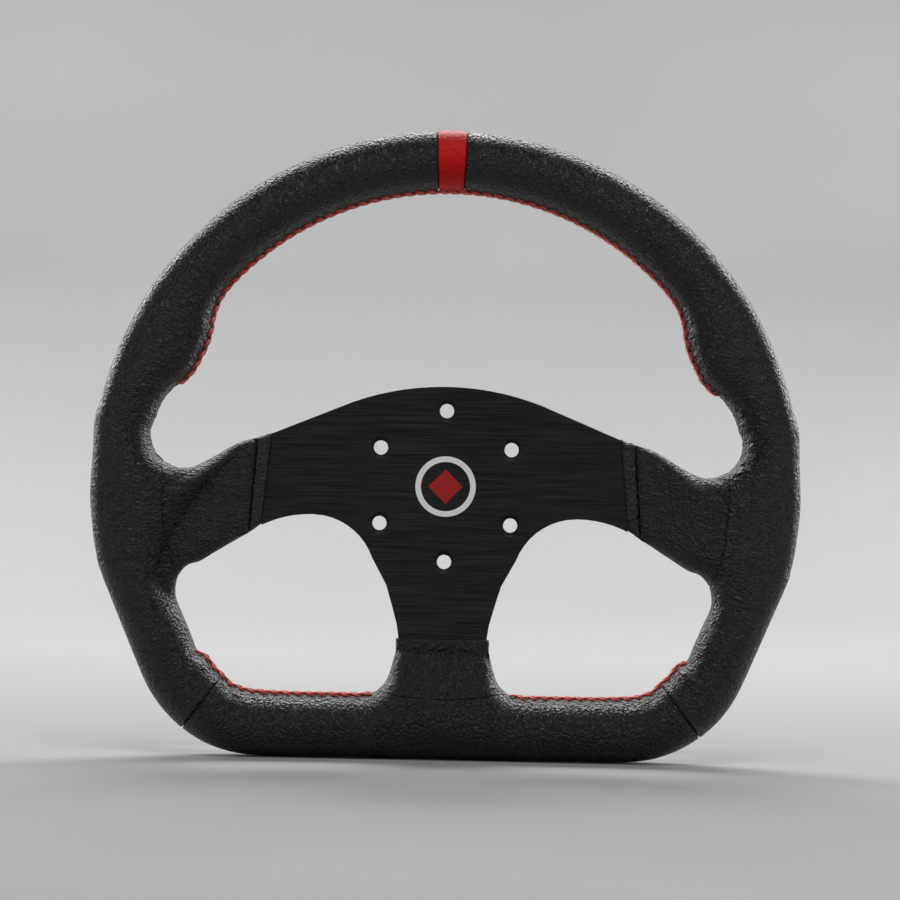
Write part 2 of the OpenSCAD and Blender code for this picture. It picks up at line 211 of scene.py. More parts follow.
# The seam between the grip leather and the leather of a spoke root, from the notch downwards
ROOT_SEAM = np.array([[RIM_R - 33.2, 12.0], [RIM_R - 33.8, 8], [RIM_R - 34.2, 0], [RIM_R - 34.5, -9],
                      [RIM_R - 35.6, -23], [RIM_R - 37.8, -33], [RIM_R - 40.5, -41], [RIM_R - 42.5, -46]])

# The line where the padding of the rim comes down to the flat wing of a spoke, and its run
# down the lower grip. The wing lies between this line, the collar and the lower opening.
CREASE = np.array([MOUTH_TOP - [0, 1.0], [RIM_R - 66.5, 12], [RIM_R - 56.5, 0], [RIM_R - 47.5, -11],
                   [RIM_R - 39.5, -25], [RIM_R - 35, -34], [RIM_R - 32.5, -42]])


def crossing(outer, ray, width, line):
    """Distance in from the outside at which each slice crosses a line, or its width if it doesn't.
    The line is on the right side, so slices on the left are mirrored first."""
    side = np.sign(outer[:, 0:1] + 1e-6)
    mirror = np.hstack([side, np.ones_like(side)])
    o, d = outer * mirror, ray * mirror
    found = width.copy()
    for a, b in zip(line[:-1], line[1:]):
        e = b - a
        den = d[:, 0:1] * e[1] - d[:, 1:2] * e[0]
        den = np.where(np.abs(den) < 1e-9, 1e-9, den)
        t = ((a[0] - o[:, 0:1]) * e[1] - (a[1] - o[:, 1:2]) * e[0]) / den
        u = ((a[0] - o[:, 0:1]) * d[:, 1:2] - (a[1] - o[:, 1:2]) * d[:, 0:1]) / den
        found = np.where((u >= 0) & (u <= 1) & (t > 0) & (t < width), t, found)
    return found


def above_flat(outer):
    """1 where a slice starts well above the flat bottom, 0 on the flat."""
    return smoothstep((outer[:, 1:2] + 105) / 20)


def crest_of(width):
    """Distance in from the outside at which a slice of this width is thickest."""
    return np.minimum(width / 2, CREST_IN)


def half_thickness(from_outer, from_edge, width, tip, fade, softness):
    """Half the padding's depth: a round crest, then a fall to the thin wing over `fade` mm."""
    crest = crest_of(width)
    rise = np.clip(1 - from_outer / crest, 0, 1)
    outer_side = HALF_DEPTH * np.sqrt(np.maximum(1 - rise ** 2, 0))
    past = np.maximum(from_outer - crest, 0)
    wing = MOUTH_HALF + WING_EXTRA * (1 - np.clip(past / LONG_FADE, 0, 1))
    share = (1 - np.clip(past / fade, 0, 1) ** 2) ** softness
    body = wing + (HALF_DEPTH - wing) * share
    lip = LIP_DROP * tip * (1 - smoothstep((width - from_outer) / LIP_W))
    radius = np.minimum(EDGE_ROUND + EDGE_ROUND_MORE * share, np.maximum(width - crest, EDGE_ROUND))
    inner_side = (body - lip) * np.sqrt(1 - (1 - np.clip(from_edge / radius, 0, 1)) ** 2)
    return np.where(from_outer <= crest, outer_side, inner_side)


class Padding:
    """The padded rim with its spoke roots, as slices from the inner edge round to the inner edge."""

    STATION_POINTS = 6000
    RAY_POINTS = 161
    SLICE_POINTS = 241
    # The least half thickness that is left when a slice is sunk below the surface
    LEAST_HALF = 0.02

    def __init__(self):
        right = right_stations()
        mirror = np.array([-1, 1, -1, 1, 1])
        rows = np.vstack([right, right[-2:0:-1] * mirror])
        fine = catmull(rows, np.linspace(0, len(rows), self.STATION_POINTS, endpoint=False))
        # The outline is a little full just above the spokes and a little hollow beside them
        level_deg = np.degrees(np.arctan2(fine[:, 1], np.abs(fine[:, 0])))
        swell = 0.9 * np.exp(-((level_deg - 10) / 2.5) ** 2) - 0.5 * np.exp(-((level_deg - 3) / 3.5) ** 2)
        fine[:, 0:2] *= 1 + swell[:, None] / RIM_R
        # Distance along the rim is measured near the middle of the slices
        middle = 0.55 * fine[:, 0:2] + 0.45 * fine[:, 2:4]
        steps = np.linalg.norm(np.roll(middle, -1, 0) - middle, axis=1)
        self.along = np.concatenate([[0], np.cumsum(steps)[:-1]])
        self.length = float(steps.sum())
        self.rows = fine
        self.fade_table = self.fades()

    def at(self, places):
        """Rows of outer, inner and tip at distances along the rim, in mm from twelve o'clock."""
        places = np.mod(places, self.length)
        wrapped = np.append(self.along, self.length)
        rows = np.vstack([self.rows, self.rows[:1]])
        return np.column_stack([np.interp(places, wrapped, rows[:, k]) for k in range(5)])

    def place_of(self, test):
        """Distances along the right half of the rim at which a test of the rows holds, in order."""
        half = self.along < self.length / 2
        return self.along[half][test(self.rows[half])]

    def slices(self, places, sink=0.0):
        """Points of shape (places, SLICE_POINTS, 3), evenly spaced round each slice."""
        rows = self.at(places)
        outer, inner, tip = rows[:, 0:2], rows[:, 2:4], rows[:, 4:5]
        span = inner - outer
        width = np.linalg.norm(span, axis=1, keepdims=True)
        ray = span / width
        turn = np.linspace(0, np.pi, self.RAY_POINTS)[None, :]
        from_outer = width * (1 - (1 - np.cos(turn)) / 2)
        spots = outer[:, None, :] + ray[:, None, :] * from_outer[:, :, None]
        from_edge = self.edge_distance(places, spots, width - from_outer)
        nearest = np.mod(places, self.length)
        fade = np.interp(np.minimum(nearest, self.length - nearest), *self.fade_table)[:, None]
        # The crease is crisp on the left of the front only; the back covers the riveted tabs
        on_right = smoothstep(outer[:, 0:1] / 12 + 0.5)
        longer = 0.75 * np.maximum(LONG_FADE - fade, 0) * above_flat(outer)
        shrink = 1 - 2 * sink / width
        centre = outer[:, None, :] + ray[:, None, :] * (width / 2)[:, :, None]
        reach = (from_outer - width / 2) * shrink
        flat = centre + ray[:, None, :] * reach[:, :, None]
        sides = []
        for way, soft in ((-1, on_right), (1, np.ones_like(on_right))):
            fall = fade + soft * longer
            half = half_thickness(from_outer, from_edge, width, tip, fall, 1 + 0.35 * soft)
            depth = MID_Y + way * np.maximum(half - sink, self.LEAST_HALF)
            sides.append(np.stack([flat[..., 0], depth, flat[..., 1]], axis=-1))
        front, back = sides
        middle = (front[:, :1] + back[:, :1]) / 2
        loop = np.concatenate([middle, front, back[:, ::-1], middle], axis=1)
        return self.evenly(loop)

    def turn_at(self, places, inset):
        """Share of the way round each slice, from its inner edge over the front, to a seam that lies
        `inset` mm in from the outside. Zero where the slice is narrower than that."""
        points = self.slices(places)
        outer = self.at(places)[:, None, 0:2]
        reach = np.linalg.norm(points[..., 0::2] - outer, axis=2)
        front = self.SLICE_POINTS // 2 + 1
        shares = np.linspace(0, 1, self.SLICE_POINTS)[:front]
        inset = np.broadcast_to(inset, places.shape)
        return np.array([np.interp(-w, -r[:front], shares) for w, r in zip(inset, reach)])

    def fades(self):
        """How far inside the crest the padding has come down to wing thickness, along the right half."""
        places = np.arange(0, self.length / 2, 1.0)
        outer, ray, width = self.rays(places)
        cross = crossing(outer, ray, width, CREASE)
        fade = np.where(cross < width, cross - crest_of(width), LONG_FADE)[:, 0]
        # Beyond the last slice that the crease crosses, the fade grows back slowly
        last = np.flatnonzero(cross[:, 0] < width[:, 0])[-1]
        beyond = np.arange(len(places)) - last
        grown = fade[last] * (LONG_FADE / fade[last]) ** smoothstep(beyond / 56)
        fade = np.where(beyond > 0, grown, fade)
        to_foot = smoothstep((places - (self.length / 2 - 70)) / 30)
        return places, fade + (FOOT_FADE - fade) * to_foot

    def rays(self, places):
        """Outer points, directions inwards and widths of the slices."""
        rows = self.at(places)
        span = rows[:, 2:4] - rows[:, 0:2]
        width = np.linalg.norm(span, axis=1, keepdims=True)
        return rows[:, 0:2], span / width, width

    def turn_at_line(self, places, line):
        """Share of the way round each slice to where it crosses a line in the wheel's plane."""
        return self.turn_at(places, crossing(*self.rays(places), line)[:, 0])

    def edge_distance(self, places, spots, straight):
        """Distance of each spot from the free inner edge; the collar mouths don't count."""
        edge = self.at(places + 0.5)[:, 2:4] - self.at(places - 0.5)[:, 2:4]
        edge /= np.linalg.norm(edge, axis=1, keepdims=True) + 1e-9
        ray = spots[:, -1] - spots[:, 0]
        ray /= np.linalg.norm(ray, axis=1, keepdims=True)
        slant = np.abs(ray[:, 0] * edge[:, 1] - ray[:, 1] * edge[:, 0])
        # Straight slices across the grip keep the plain distance; slanted ones get the true one
        near_mouth = np.max([self.at(places + k)[:, 4] for k in np.arange(-36, 37, 4)], axis=0)
        share_true = np.maximum(smoothstep((0.9995 - slant) / 0.012), smoothstep(near_mouth / 0.3))
        skew = np.flatnonzero(share_true > 0)
        if len(skew) == 0:
            return straight
        spots = spots[skew]
        best = np.full(spots.shape[:2], 99.0)
        behind = self.at(places[skew] - 40)
        for offset in np.arange(-39.5, 40.1, 0.5):
            ahead = self.at(places[skew] + offset)
            a, side = behind[:, None, 2:4], (ahead - behind)[:, None, 2:4]
            share = np.sum((spots - a) * side, axis=2) / (np.sum(side * side, axis=2) + 1e-9)
            gap = np.linalg.norm(spots - a - side * np.clip(share, 0, 1)[..., None], axis=2)
            gap += 99 * smoothstep((ahead[:, 4:5] - 0.55) / 0.3)
            best = np.minimum(best, gap)
            behind = ahead
        closest = straight.copy()
        closest[skew] += (best - straight[skew]) * share_true[skew, None]
        return closest

    def evenly(self, loop):
        """Respaces each slice's points evenly round it."""
        steps = np.linalg.norm(np.diff(loop, axis=1), axis=2)
        run = np.concatenate([np.zeros((len(loop), 1)), np.cumsum(steps, axis=1)], axis=1)
        run /= run[:, -1:]
        share = np.linspace(0, 1, self.SLICE_POINTS)
        out = np.empty((len(loop), self.SLICE_POINTS, 3))
        for i, (r, pts) in enumerate(zip(run, loop)):
            for k in range(3):
                out[i, :, k] = np.interp(share, r, pts[:, k])
        return out


padding = Padding()


# ---- Marks along the rim, in mm from twelve o'clock on the right side

def first(test):
    return float(padding.place_of(test)[0])


def polar_deg(rows):
    return np.degrees(np.arctan2(rows[:, 1], rows[:, 0]))


def down_flank(rows):
    """How far down the flank's line the outer points lie."""
    return (rows[:, 1] - FLANK_N[1] * FLANK_R) / FLANK_T[1]


CORNER_SEAM_X = CORNER_X + CORNER_R * math.cos(math.radians(53))
BAND_EDGE = first(lambda r: polar_deg(r) < 90 - BAND_HALF_DEG)
STITCH_END = first(lambda r: polar_deg(r) < 20)
SEAM_START = first(lambda r: polar_deg(r) < 5.4)
SEAM_END = first(lambda r: down_flank(r) > -11)
LOW_STITCH_START = first(lambda r: down_flank(r) > 27)
CORNER_SEAM = first(lambda r: (r[:, 1] < -100) & (r[:, 0] < CORNER_SEAM_X))
LOW_STITCH_END = first(lambda r: (r[:, 1] < -120) & (r[:, 2] < 30.5))
FOOT_SEAM = first(lambda r: (r[:, 1] < -120) & (r[:, 2] < 27.2))
HALF_WAY = padding.length / 2


def mesh_object(name, points, faces, material, smooth=True):
    mesh = bpy.data.meshes.new(name)
    mesh.from_pydata((np.asarray(points).reshape(-1, 3) * MM).tolist(), [], faces)
    mesh.update()
    work = bmesh.new()
    work.from_mesh(mesh)
    bmesh.ops.recalc_face_normals(work, faces=work.faces)
    work.to_mesh(mesh)
    work.free()
    mesh.polygons.foreach_set("use_smooth", [smooth] * len(mesh.polygons))
    mesh.materials.append(material)
    piece = bpy.data.objects.new(name, mesh)
    bpy.context.collection.objects.link(piece)
    return piece


def grid_faces(rows, columns, closed_rows=False, closed_columns=False, start=0):
    r = np.arange(rows if closed_rows else rows - 1)
    c = np.arange(columns if closed_columns else columns - 1)
    i, j = np.meshgrid(r, c, indexing="ij")
    i2, j2 = (i + 1) % rows, (j + 1) % columns
    quads = np.stack([i * columns + j, i * columns + j2, i2 * columns + j2, i2 * columns + j], axis=-1)
    return (quads.reshape(-1, 4) + start).tolist()


def normals_of(grid):
    du = np.gradient(grid, axis=0)
    dv = np.gradient(grid, axis=1)
    n = np.cross(dv, du)
    n /= np.linalg.norm(n, axis=2, keepdims=True) + 1e-9
    centre = grid.mean(axis=1, keepdims=True)
    if np.mean(np.sum(n * (grid - centre), axis=2)) < 0:
        n = -n
    return n


def every(count, step):
    """Indices from 0 to count - 1 in steps, with both ends."""
    return np.unique(np.append(np.arange(0, count, step), count - 1))


# The unseen inside of a panel keeps every fourth row and every second column of the outside
INSIDE_SKIP = (4, 2)


def closed_shell(name, outside, inside, material):
    """A thin closed skin: a fine outside, a coarser inside, and one ring of faces round the edge."""
    nu, nv = outside.shape[:2]
    iu, jv = every(nu, INSIDE_SKIP[0]), every(nv, INSIDE_SKIP[1])
    coarse = inside[np.ix_(iu, jv)]
    faces = grid_faces(nu, nv)
    base = nu * nv
    faces += [f[::-1] for f in grid_faces(len(iu), len(jv), start=base)]
    for a in range(len(iu) - 1):
        for column, edge in ((0, 0), (len(jv) - 1, nv - 1)):
            fine = [i * nv + edge for i in range(iu[a], iu[a + 1] + 1)]
            ends = [base + (a + 1) * len(jv) + column, base + a * len(jv) + column]
            faces.append(fine + ends)
    for b in range(len(jv) - 1):
        for row, edge in ((0, 0), (len(iu) - 1, nu - 1)):
            fine = [edge * nv + j for j in range(jv[b], jv[b + 1] + 1)]
            ends = [base + row * len(jv) + b + 1, base + row * len(jv) + b]
            faces.append(fine + ends)
    points = np.concatenate([outside.reshape(-1, 3), coarse.reshape(-1, 3)])
    return mesh_object(name, points, faces, material)


# Spacing of points at a panel's edges, the width of that strip, and spacing in the creased zones
EDGE_STEP = 0.22
EDGE_ZONE = 3.0
FINE_STEP = 0.55


def uneven(length, step, fine_zones=()):
    """Distances from 0 to length, close together at both ends and in the fine zones."""
    x = np.linspace(0, length, 4000)
    size = np.full_like(x, step)
    for start, stop in fine_zones:
        inside = smoothstep((x - start + 4) / 8) * smoothstep((stop + 4 - x) / 8)
        size = size * (1 - inside) + FINE_STEP * inside
    from_end = np.minimum(x, length - x)
    size = np.minimum(size, EDGE_STEP + (step - EDGE_STEP) * from_end / EDGE_ZONE)
    count = np.concatenate([[0], np.cumsum(np.diff(x) / size[:-1])])
    n = int(round(count[-1]))
    return np.interp(np.linspace(0, count[-1], n + 1), count, x)


def roll(distance, radius, depth):
    """How far a turned leather edge drops, by the distance from the edge."""
    near = np.clip(1 - distance / radius, 0, 1)
    return -depth * (1 - np.sqrt(1 - near ** 2))


# Distance between the lacing's holes, and how far from the joint each one lies
STITCH_PITCH = 5.4
STITCH_REACH = 2.7


def inner_run(places):
    """Distance along the inner edge for each place along the rim."""
    fine = np.arange(0, padding.length + 1, 1.0)
    points = padding.at(fine)[:, 2:4]
    run = np.concatenate([[0], np.cumsum(np.linalg.norm(np.diff(points, axis=0), axis=1))])
    laps = np.floor(places / padding.length)
    return np.interp(np.mod(places, padding.length), fine, run) + laps * run[-1]


def stitched(places):
    """1 where the inner edge is laced at these places along the rim."""
    places = np.mod(places, padding.length)
    right = np.minimum(places, padding.length - places)
    upper = right < STITCH_END
    lower = (right > LOW_STITCH_START) & (right < LOW_STITCH_END)
    return (upper | lower).astype(float)


CREASE_SEED = 11


def gather(points, places, around):
    """Creases and small waves in the leather, in mm, at points of the cover."""
    x, z = np.abs(points[..., 0]), points[..., 2]
    side = np.sign(points[..., 0])
    u = places[:, None] * np.ones_like(around)
    to_notch = np.hypot(x - NOTCH[0], z - NOTCH[1]) - NOTCH_R
    notch = np.exp(-(to_notch / 8) ** 2) * smoothstep((x - NOTCH[0] + 8) / 12)
    thumb_a = np.degrees(np.arctan2(z, x))
    inner_edge = np.minimum(around, around.max(axis=1, keepdims=True) - around)
    thumb = np.exp(-((thumb_a - 27) / 9) ** 2) * np.exp(-((inner_edge - 4) / 9) ** 2)
    to_seam = np.abs(RIM_R - SEAM_IN - np.hypot(x, z))
    root = np.exp(-(to_seam / 5) ** 2) * smoothstep((thumb_a + 24) / 8) * smoothstep((12 - thumb_a) / 6)
    laced = stitched(places)[:, None] * np.exp(-(inner_edge / 11) ** 2)
    low_grip = smoothstep((-60 - z) / 30)
    amount = np.clip(0.85 * notch + 0.7 * thumb + 0.7 * root + (0.34 + 0.42 * low_grip) * laced, 0, 1)
    bend = 1.6 * noise(u / 14, around / 14, CREASE_SEED)
    fold = noise((u + bend) / 1.9, around / 9.0, CREASE_SEED + 1)
    fold += 0.5 * noise((u - bend) / 1.1, around / 6.0, CREASE_SEED + 2)
    creases = -np.exp(-(fold / 0.28) ** 2) * 0.40 + 0.16 * fold
    patchy = 0.55 + 0.45 * noise(u / 11, around / 12, CREASE_SEED + 3)
    broad = 0.22 * noise(u / 26, around / 24, CREASE_SEED + 4, octaves=2)
    fine = 0.012 * noise(u / 2.4, around / 2.6, CREASE_SEED + 5, octaves=2)
    return creases * amount * patchy * 1.3 + broad + fine


# Heights in mm: the leather puffs up between stitches, dips in at each hole and dips broadly round it
PUFF_UP = 0.10
HOLE_DOWN = 0.22
DIP_DOWN = 0.16


def puckers(places, around):
    """The pull of each stitch on the leather beside the laced edge."""
    phase = inner_run(places)[:, None] / STITCH_PITCH
    edge = np.minimum(around, around.max(axis=1, keepdims=True) - around)
    pull = np.cos(np.pi * phase) ** 6
    hole = np.exp(-((edge - STITCH_REACH) / 1.3) ** 2)
    puff = (1 - pull) * np.exp(-((edge - 2.6) / 2.6) ** 2)
    dip = np.exp(-(edge / 9) ** 2)
    lift = PUFF_UP * puff - HOLE_DOWN * pull * hole - DIP_DOWN * pull * dip
    return stitched(places)[:, None] * lift


# Radius and depth of the turned edges: at a panel's ends, and along the lines beside its neighbours
SEAM_EDGE = (1.1, 0.6)
SEAM_DEPTH = (0.85, 0.28)


def cover(name, start, stop, low, high, material, step=0.95, rows_step=0.95, fine_zones=(),
          edges=SEAM_EDGE, edge_depth=SEAM_DEPTH, gathers=1.0, nominal=93.0):
    """A leather panel from start to stop along the rim, between two lines round the slices."""
    zones = [(a - start, b - start) for a, b in fine_zones]
    places = start + uneven(stop - start, step, zones)
    rows = uneven(nominal, rows_step) / nominal
    lo, hi = low(places), high(places)
    turn = lo[:, None] + (hi - lo)[:, None] * rows[None, :]
    slices = padding.slices(places)
    base = sample(slices, turn)
    length = slice_length(slices)
    around = np.mod(turn, 1.0) * length[:, None]
    normals = normals_of(base)
    lift = gathers * gather(base, places, np.where(turn < 0, turn + 1, turn) * length[:, None])
    lift += puckers(places, around)
    steps = np.linalg.norm(np.diff(base, axis=0), axis=2)
    run = np.concatenate([np.zeros((1, len(rows))), np.cumsum(steps, axis=0)])
    lift += roll(run, edges[0], edge_depth[0]) + roll(run[-1:] - run, edges[0], edge_depth[0])
    across_low = (turn - lo[:, None]) * length[:, None]
    across_high = (hi[:, None] - turn) * length[:, None]
    lift += roll(across_low, edges[1], edge_depth[1]) + roll(across_high, edges[1], edge_depth[1])
    outside = base + normals * lift[..., None]
    inside = sample(padding.slices(places, sink=SKIN_T + edge_depth[0]), turn)
    return closed_shell(name, outside, inside, material)


def sample(slices, turn):
    """Points of the slices at shares of the way round them, one row of shares for each slice."""
    n = slices.shape[1] - 1
    f = np.mod(turn, 1.0) * n
    i = np.minimum(np.floor(f).astype(int), n - 1)
    t = (f - i)[..., None]
    k = np.arange(len(slices))[:, None]
    return slices[k, i] * (1 - t) + slices[k, i + 1] * t


def slice_length(slices):
    return np.linalg.norm(np.diff(slices, axis=1), axis=2).sum(axis=1)


# ---- Materials

def new_material(name, **settings):
    """A material, its node tree and its shader, with the shader's own values set."""
    material = bpy.data.materials.new(name)
    material.use_nodes = True
    tree = material.node_tree
    shader = tree.nodes["Principled BSDF"]
    for key, value in settings.items():
        shader.inputs[key.replace("_", " ")].default_value = value
    return material, tree, shader


def node(tree, kind, **settings):
    made = tree.nodes.new(kind)
    for key, value in settings.items():
        if key in made.inputs:
            made.inputs[key].default_value = value
        else:
            setattr(made, key, value)
    return made


def paint(tree, shader, source, low, high, dark, light):
    """Colours the shader from dark to light as the source goes from low to high."""
    made = tree.nodes.new("ShaderNodeValToRGB")
    made.color_ramp.elements[0].position = low
    made.color_ramp.elements[1].position = high
    made.color_ramp.elements[0].color = (*dark, 1)
    made.color_ramp.elements[1].color = (*light, 1)
    tree.links.new(source, made.inputs["Fac"])
    tree.links.new(made.outputs["Color"], shader.inputs["Base Color"])


def level(tree, source, low, high):
    made = tree.nodes.new("ShaderNodeMapRange")
    made.inputs["To Min"].default_value = low
    made.inputs["To Max"].default_value = high
    tree.links.new(source, made.inputs["Value"])
    return made.outputs["Result"]


def bumps(tree, shader, layers):
    """Chains bump nodes: (height output, strength, distance in metres)."""
    normal = None
    for height, strength, distance in layers:
        bump = tree.nodes.new("ShaderNodeBump")
        bump.inputs["Strength"].default_value = strength
        bump.inputs["Distance"].default_value = distance
        tree.links.new(height, bump.inputs["Height"])
        if normal is not None:
            tree.links.new(normal, bump.inputs["Normal"])
        normal = bump.outputs["Normal"]
    tree.links.new(normal, shader.inputs["Normal"])


def object_place(tree, stretch=(1, 1, 1)):
    place = tree.nodes.new("ShaderNodeTexCoord")
    mapping = tree.nodes.new("ShaderNodeMapping")
    mapping.inputs["Scale"].default_value = stretch
    tree.links.new(place.outputs["Object"], mapping.inputs["Vector"])
    return mapping.outputs["Vector"]


def textured(tree, kind, vector, output, **settings):
    made = node(tree, kind, **settings)
    tree.links.new(vector, made.inputs["Vector"])
    return made.outputs[output]


def cloudy(tree, vector, scale, detail, **settings):
    return textured(tree, "ShaderNodeTexNoise", vector, "Fac", Scale=scale, Detail=detail, **settings)


def math_node(tree, operation, *values):
    made = tree.nodes.new("ShaderNodeMath")
    made.operation = operation
    for k, value in enumerate(values):
        if isinstance(value, float):
            made.inputs[k].default_value = value
        else:
            tree.links.new(value, made.inputs[k])
    return made.outputs["Value"]


# Wrinkle noise: its scale, how much less it changes along a wrinkle, and half a valley's width in it
WRINKLE_SCALE = 430.0
WRINKLE_SHORTEN = 0.45
WRINKLE_WIDTH = 0.16


def ridges(tree):
    """Heights of fine wrinkles that lie across the rim: long cells of noise in polar coordinates."""
    place = tree.nodes.new("ShaderNodeTexCoord").outputs["Object"]
    split = tree.nodes.new("ShaderNodeSeparateXYZ")
    tree.links.new(place, split.inputs["Vector"])
    x, y, z = (split.outputs[k] for k in "XYZ")
    side = math_node(tree, "ABSOLUTE", x)
    arc = math_node(tree, "MULTIPLY", math_node(tree, "ARCTAN2", side, z), RIM_R * MM)
    reach = math_node(tree, "SQRT", math_node(tree, "ADD", math_node(tree, "MULTIPLY", x, x),
                                              math_node(tree, "MULTIPLY", z, z)))
    join = tree.nodes.new("ShaderNodeCombineXYZ")
    tree.links.new(arc, join.inputs["X"])
    tree.links.new(math_node(tree, "MULTIPLY", y, WRINKLE_SHORTEN), join.inputs["Y"])
    tree.links.new(math_node(tree, "MULTIPLY", reach, WRINKLE_SHORTEN), join.inputs["Z"])
    cells = cloudy(tree, join.outputs["Vector"], WRINKLE_SCALE, 2.0, Distortion=0.5)
    from_line = math_node(tree, "ABSOLUTE", math_node(tree, "SUBTRACT", cells, 0.5))
    return math_node(tree, "MINIMUM", math_node(tree, "DIVIDE", from_line, WRINKLE_WIDTH), 1.0)


def leather(name, dark, light, roughness, grain_scale=820, grain=0.8, wrinkles=0.75, specular=0.45):
    """Full grain leather: pebbles, pores, a slow change of shade and slightly shinier rubbed patches."""
    material, tree, shader = new_material(name, Specular_IOR_Level=specular)
    place = object_place(tree)
    pebbles = textured(tree, "ShaderNodeTexVoronoi", place, "Distance", Scale=grain_scale,
                       feature="SMOOTH_F1")
    pores = cloudy(tree, place, grain_scale * 2.6, 3.0)
    patches = cloudy(tree, place, 42.0, 3.0)
    paint(tree, shader, patches, 0.35, 0.7, dark, light)
    tree.links.new(level(tree, patches, *roughness), shader.inputs["Roughness"])
    creased = math_node(tree, "MULTIPLY", ridges(tree), level(tree, patches, 0.4, 1.0))
    bumps(tree, shader, [(creased, wrinkles, 0.0014), (pebbles, grain, 0.0011),
                         (pores, grain * 0.5, 0.0002)])
    return material


def anodised(name):
    """Brushed aluminium, dyed black: fine streaks along the wheel's width."""
    material, tree, shader = new_material(name, Specular_IOR_Level=0.28, Anisotropic=0.5)
    place = object_place(tree, (1.0, 1.0, 90.0))
    streaks = cloudy(tree, place, 26.0, 8.0, Roughness=0.7)
    cloud = cloudy(tree, object_place(tree, (1, 1, 4)), 24.0, 3.0)
    paint(tree, shader, streaks, 0.42, 0.66, (0.0030, 0.0030, 0.0032), (0.034, 0.034, 0.036))
    tree.links.new(level(tree, cloud, 0.3, 0.48), shader.inputs["Roughness"])
    bumps(tree, shader, [(streaks, 0.25, 0.00012)])
    return material


def metal(name, colour, roughness):
    material, tree, shader = new_material(name, Metallic=1.0)
    cloud = cloudy(tree, object_place(tree), 90.0, 5.0)
    low = [c * 0.8 for c in colour]
    paint(tree, shader, cloud, 0.3, 0.7, low, colour)
    tree.links.new(level(tree, cloud, roughness - 0.08, roughness + 0.1), shader.inputs["Roughness"])
    bumps(tree, shader, [(cloud, 0.06, 0.0003)])
    return material


def foam(name):
    material, tree, shader = new_material(name, Roughness=0.85)
    cells = textured(tree, "ShaderNodeTexVoronoi", object_place(tree), "Distance", Scale=900.0)
    paint(tree, shader, cells, 0.1, 0.7, (0.02, 0.02, 0.021), (0.045, 0.045, 0.047))
    bumps(tree, shader, [(cells, 0.4, 0.0004)])
    return material


def thread_material(name):
    """Waxed thread: plies twisted along it and a little fuzz of lighter fibres."""
    material, tree, shader = new_material(name, Roughness=0.42, Sheen_Weight=0.4)
    plies = textured(tree, "ShaderNodeTexWave", object_place(tree), "Fac", Scale=1500.0, Distortion=3.0,
                     Detail=2.0)
    fibres = cloudy(tree, object_place(tree), 2600.0, 3.0)
    paint(tree, shader, fibres, 0.3, 0.75, (0.52, 0.02, 0.012), (0.86, 0.10, 0.065))
    bumps(tree, shader, [(plies, 0.5, 0.0001), (fibres, 0.3, 0.00006)])
    return material


def ink(name, colour, roughness):
    material, tree, shader = new_material(name, Roughness=roughness)
    grain = cloudy(tree, object_place(tree), 1400.0, 4.0)
    low = [c * 0.9 for c in colour]
    paint(tree, shader, grain, 0.3, 0.7, low, colour)
    bumps(tree, shader, [(grain, 0.08, 0.00008)])
    return material


BLACK_LOW, BLACK_HIGH = (0.0052, 0.0052, 0.0054), (0.0105, 0.0105, 0.011)
GRIP = leather("grip_leather", BLACK_LOW, BLACK_HIGH, (0.30, 0.50))
SPOKE = leather("spoke_leather", BLACK_LOW, BLACK_HIGH, (0.32, 0.52), grain_scale=900, grain=0.7)
COLLAR = leather("collar_leather", BLACK_LOW, BLACK_HIGH, (0.32, 0.5), grain_scale=900, grain=0.6,
                 wrinkles=0.5)
BAND = leather("band_leather", (0.44, 0.002, 0.001), (0.58, 0.004, 0.002), (0.42, 0.58),
               grain_scale=950, grain=0.4, wrinkles=0.1, specular=0.2)
THREAD = thread_material("red_thread")
FOAM = foam("moulded_foam")
PLATE = anodised("black_anodised")
STEEL = metal("drawn_steel", (0.45, 0.45, 0.46), 0.35)
RIVET = metal("rivet_metal", (0.62, 0.62, 0.63), 0.3)
WHITE = ink("white_print", (0.95, 0.95, 0.94), 0.4)
RED = ink("red_print", (0.42, 0.008, 0.008), 0.4)


def place_piece(piece, slot, *nodes):
    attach(piece, "root")
    if nodes:
        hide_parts(*nodes)
    return piece


# ---- Leather panels

# Half the gap between the two laced edges, as a share of the way round a slice
LACE_GAP = 0.0035


def seam_turn(places):
    """Share of the way round to the seam of a side root, and 0 away from the roots."""
    right = np.minimum(places, padding.length - places)
    root = (right > SEAM_START - 12) & (right < SEAM_END + 12)
    return np.where(root, padding.turn_at_line(places, ROOT_SEAM), 0.0)


# The foot's seam: how far in from the flat it ends, and how far its middle sags towards the flat
FOOT_SEAM_IN = 30.8
FOOT_SEAM_SAG = 2.5
FOOT_SEAM_HALF = 27.6


def foot_turn(places):
    """Share of the way round to the seam of the foot, and 0 away from the foot."""
    x = np.abs(padding.at(places)[:, 0])
    inset = FOOT_SEAM_IN - FOOT_SEAM_SAG * np.clip(1 - (x / FOOT_SEAM_HALF) ** 2, 0, 1)
    foot = np.abs(places - HALF_WAY) < HALF_WAY - FOOT_SEAM + 10
    return np.where(foot, padding.turn_at(places, inset), 0.0)


def grip_low(places):
    return np.maximum(seam_turn(places), LACE_GAP)


def bottom_low(places):
    return np.maximum(foot_turn(places), LACE_GAP)


def opposite(turn):
    return lambda places: 1 - turn(places)


# Gap left at each end of a panel
EDGE_GAP = 0.1
